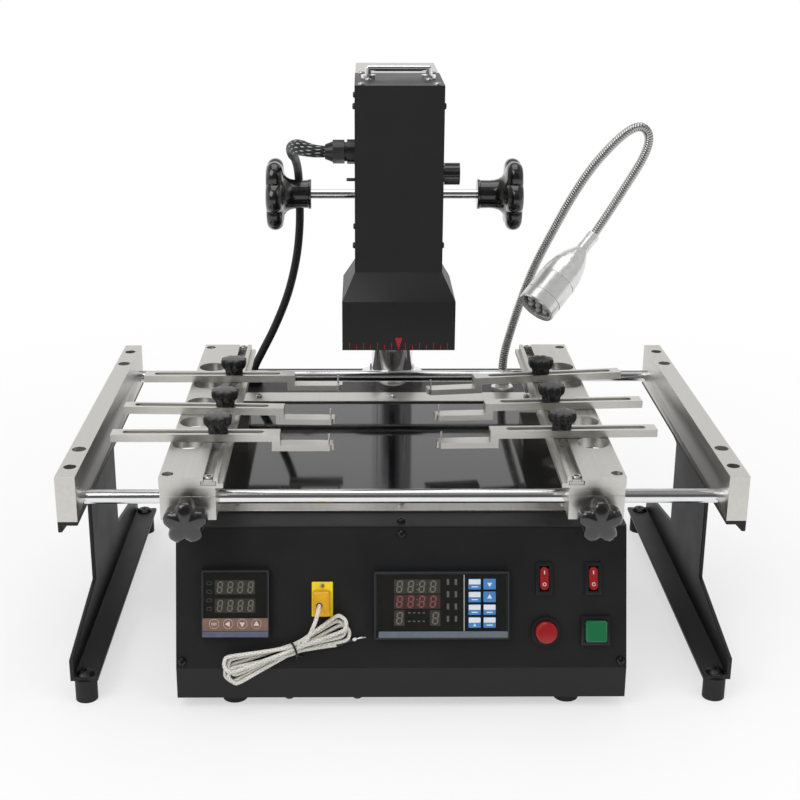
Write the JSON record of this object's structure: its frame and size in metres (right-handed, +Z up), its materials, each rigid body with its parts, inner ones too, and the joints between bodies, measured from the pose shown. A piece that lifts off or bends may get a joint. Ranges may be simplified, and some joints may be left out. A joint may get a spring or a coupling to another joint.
{
  "type": "bga rework station",
  "caption": "Bench rework station with glass-topped preheater, controller panel, sliding board holder with clamp arms, rack-lifted upper heater head and gooseneck lamp.",
  "frame": {"origin": "on the table under the middle of the machine", "axes": "+X to the operator's right, +Y to the back, +Z up"},
  "size_m": [0.476, 0.4234, 0.431],
  "materials": {
    "black_steel": "powder coat",
    "black_glass": "polished",
    "chrome": "polished",
    "ceramic": "matt",
    "rubber": "matt",
    "black_plastic": "matt",
    "red_plastic": "gloss",
    "green_plastic": "gloss",
    "yellow_plastic": "matt",
    "white_braid": "braided",
    "black_braid": "braided",
    "satin_aluminium": "satin",
    "steel": "satin"
  },
  "bodies": {
    "base": {"body_shell": "black_steel", "front_panel": "black_steel", "top_plate": "black_steel", "glass_plate": "black_glass", "glass_strips": "chrome", "lower_heaters": "ceramic", "rubber_feet": "rubber", "lower_controller": "black_plastic", "upper_controller": "black_plastic", "panel_bezels": "black_plastic", "sensor_socket": "yellow_plastic", "sensor_plug": "yellow_plastic", "sensor_wire": "white_braid", "sensor_hank": "white_braid", "cooling_fan": "black_plastic", "power_inlet": "black_plastic", "column": "chrome", "end_bars": "satin_aluminium", "side_legs": "black_steel", "guide_rods": "chrome", "lamp_stalk": "steel", "lamp_head": "satin_aluminium"},
    "head": {"head_housing": "black_steel", "head_slide": "satin_aluminium", "upper_heater": "ceramic", "top_handle": "chrome", "cable_gland": "black_plastic", "head_cable": "black_braid"},
    "pinion": {"pinion_shaft": "steel", "handwheels": "black_plastic"},
    "lock_knob": {"lock_knob": "black_plastic"},
    "stop_button": {"stop_button": "red_plastic"},
    "start_button": {"start_button": "green_plastic"},
    "light_rocker": {"light_rocker": "red_plastic"},
    "fan_rocker": {"fan_rocker": "red_plastic"},
    "fan_rotor": {"fan_rotor": "black_plastic"},
    "left_carriage": {"left_carriage_plate": "satin_aluminium", "left_slide_blocks": "satin_aluminium"},
    "left_star_knob": {"left_star_knob": "black_plastic"},
    "left_front_clamp_nut": {"left_front_clamp_nut": "steel"},
    "left_front_arm": {"left_front_arm": "satin_aluminium"},
    "left_front_knob": {"left_front_knob": "black_plastic"},
    "left_middle_clamp_nut": {"left_middle_clamp_nut": "steel"},
    "left_middle_arm": {"left_middle_arm": "satin_aluminium"},
    "left_middle_knob": {"left_middle_knob": "black_plastic"},
    "left_rear_clamp_nut": {"left_rear_clamp_nut": "steel"},
    "left_rear_arm": {"left_rear_arm": "satin_aluminium"},
    "left_rear_knob": {"left_rear_knob": "black_plastic"},
    "right_carriage": {"right_carriage_plate": "satin_aluminium", "right_slide_blocks": "satin_aluminium"},
    "right_star_knob": {"right_star_knob": "black_plastic"},
    "right_front_clamp_nut": {"right_front_clamp_nut": "steel"},
    "right_front_arm": {"right_front_arm": "satin_aluminium"},
    "right_front_knob": {"right_front_knob": "black_plastic"},
    "right_middle_clamp_nut": {"right_middle_clamp_nut": "steel"},
    "right_middle_arm": {"right_middle_arm": "satin_aluminium"},
    "right_middle_knob": {"right_middle_knob": "black_plastic"},
    "right_rear_clamp_nut": {"right_rear_clamp_nut": "steel"},
    "right_rear_arm": {"right_rear_arm": "satin_aluminium"},
    "right_rear_knob": {"right_rear_knob": "black_plastic"}
  },
  "joints": [
    {"name": "left_carriage_slide", "type": "slide", "parent": "base", "child": "left_carriage", "axis": [-1, 0, 0], "range_m": [-0.016, 0.055]},
    {"name": "left_star_knob_turn", "type": "hinge", "parent": "left_carriage", "child": "left_star_knob", "pos_m": [-0.14775, -0.189, 0.1491], "axis": [0, -1, 0], "range_deg": [-360, 180]},
    {"name": "left_front_nut_slide", "type": "slide", "parent": "left_carriage", "child": "left_front_clamp_nut", "axis": [0, 1, 0], "range_m": [-0.045, 0.018]},
    {"name": "left_front_arm_slide", "type": "slide", "parent": "left_front_clamp_nut", "child": "left_front_arm", "axis": [-1, 0, 0], "range_m": [-0.013, 0.022]},
    {"name": "left_front_knob_turn", "type": "hinge", "parent": "left_front_clamp_nut", "child": "left_front_knob", "pos_m": [-0.133, -0.116, 0.188], "axis": [0, 0, 1], "range_deg": [-180, 360]},
    {"name": "left_middle_nut_slide", "type": "slide", "parent": "left_carriage", "child": "left_middle_clamp_nut", "axis": [0, 1, 0], "range_m": [-0.018, 0.026]},
    {"name": "left_middle_arm_slide", "type": "slide", "parent": "left_middle_clamp_nut", "child": "left_middle_arm", "axis": [-0.9993, 0.0366, 0], "range_m": [-0.013, 0.022]},
    {"name": "left_middle_knob_turn", "type": "hinge", "parent": "left_middle_clamp_nut", "child": "left_middle_knob", "pos_m": [-0.133, -0.057, 0.188], "axis": [0, 0, 1], "range_deg": [-180, 360]},
    {"name": "left_rear_nut_slide", "type": "slide", "parent": "left_carriage", "child": "left_rear_clamp_nut", "axis": [0, 1, 0], "range_m": [-0.026, 0.055]},
    {"name": "left_rear_arm_slide", "type": "slide", "parent": "left_rear_clamp_nut", "child": "left_rear_arm", "axis": [-1, 0, 0], "range_m": [-0.013, 0.022]},
    {"name": "left_rear_knob_turn", "type": "hinge", "parent": "left_rear_clamp_nut", "child": "left_rear_knob", "pos_m": [-0.133, 0.023, 0.188], "axis": [0, 0, 1], "range_deg": [-180, 360]},
    {"name": "right_carriage_slide", "type": "slide", "parent": "base", "child": "right_carriage", "axis": [1, 0, 0], "range_m": [-0.012, 0.06]},
    {"name": "right_star_knob_turn", "type": "hinge", "parent": "right_carriage", "child": "right_star_knob", "pos_m": [0.13375, -0.189, 0.1491], "axis": [0, -1, 0], "range_deg": [-360, 180]},
    {"name": "right_front_nut_slide", "type": "slide", "parent": "right_carriage", "child": "right_front_clamp_nut", "axis": [0, 1, 0], "range_m": [-0.05, 0.018]},
    {"name": "right_front_arm_slide", "type": "slide", "parent": "right_front_clamp_nut", "child": "right_front_arm", "axis": [0.9996, 0.0279, 0], "range_m": [-0.013, 0.022]},
    {"name": "right_front_knob_turn", "type": "hinge", "parent": "right_front_clamp_nut", "child": "right_front_knob", "pos_m": [0.119, -0.109, 0.188], "axis": [0, 0, 1], "range_deg": [-180, 360]},
    {"name": "right_middle_nut_slide", "type": "slide", "parent": "right_carriage", "child": "right_middle_clamp_nut", "axis": [0, 1, 0], "range_m": [-0.018, 0.018]},
    {"name": "right_middle_arm_slide", "type": "slide", "parent": "right_middle_clamp_nut", "child": "right_middle_arm", "axis": [0.9981, 0.061, 0], "range_m": [-0.013, 0.022]},
    {"name": "right_middle_knob_turn", "type": "hinge", "parent": "right_middle_clamp_nut", "child": "right_middle_knob", "pos_m": [0.119, -0.046, 0.188], "axis": [0, 0, 1], "range_deg": [-180, 360]},
    {"name": "right_rear_nut_slide", "type": "slide", "parent": "right_carriage", "child": "right_rear_clamp_nut", "axis": [0, 1, 0], "range_m": [-0.018, 0.055]},
    {"name": "right_rear_arm_slide", "type": "slide", "parent": "right_rear_clamp_nut", "child": "right_rear_arm", "axis": [0.9912, 0.1323, 0], "range_m": [-0.013, 0.022]},
    {"name": "right_rear_knob_turn", "type": "hinge", "parent": "right_rear_clamp_nut", "child": "right_rear_knob", "pos_m": [0.119, 0.023, 0.188], "axis": [0, 0, 1], "range_deg": [-180, 360]},
    {"name": "head_lift", "type": "slide", "parent": "base", "child": "head", "axis": [0, 0, 1], "range_m": [-0.035, 0.05], "deforming": ["head_cable"]},
    {"name": "pinion_turn", "type": "hinge", "parent": "head", "child": "pinion", "pos_m": [0, 0.13, 0.3105], "axis": [1, 0, 0], "range_deg": [-239.2, 168]},
    {"name": "lock_knob_turn", "type": "hinge", "parent": "head", "child": "lock_knob", "pos_m": [0.04, 0.015, 0.348], "axis": [1, 0, 0], "range_deg": [-180, 180]},
    {"name": "stop_press", "type": "slide", "parent": "base", "child": "stop_button", "axis": [0, 0.9497, -0.3133], "range_m": [0, 0.0025], "stiffness_N_per_m": 400, "springref_m": -0.0015},
    {"name": "start_press", "type": "slide", "parent": "base", "child": "start_button", "axis": [0, 0.9497, -0.3133], "range_m": [0, 0.0025], "stiffness_N_per_m": 400, "springref_m": -0.0015},
    {"name": "light_rocker_tilt", "type": "hinge", "parent": "base", "child": "light_rocker", "pos_m": [0.1015, -0.17486, 0.09199], "axis": [1, 0, 0], "range_deg": [0, 14]},
    {"name": "fan_rocker_tilt", "type": "hinge", "parent": "base", "child": "fan_rocker", "pos_m": [0.1365, -0.17486, 0.09199], "axis": [1, 0, 0], "range_deg": [0, 14]},
    {"name": "fan_spin", "type": "hinge", "parent": "base", "child": "fan_rotor", "pos_m": [0.084, 0.196, 0.072], "axis": [0, 1, 0], "continuous": true}
  ],
  "couplings": [
    {"joint": "pinion_turn", "follows": "head_lift", "rad_per_m": -83.333}
  ]
}
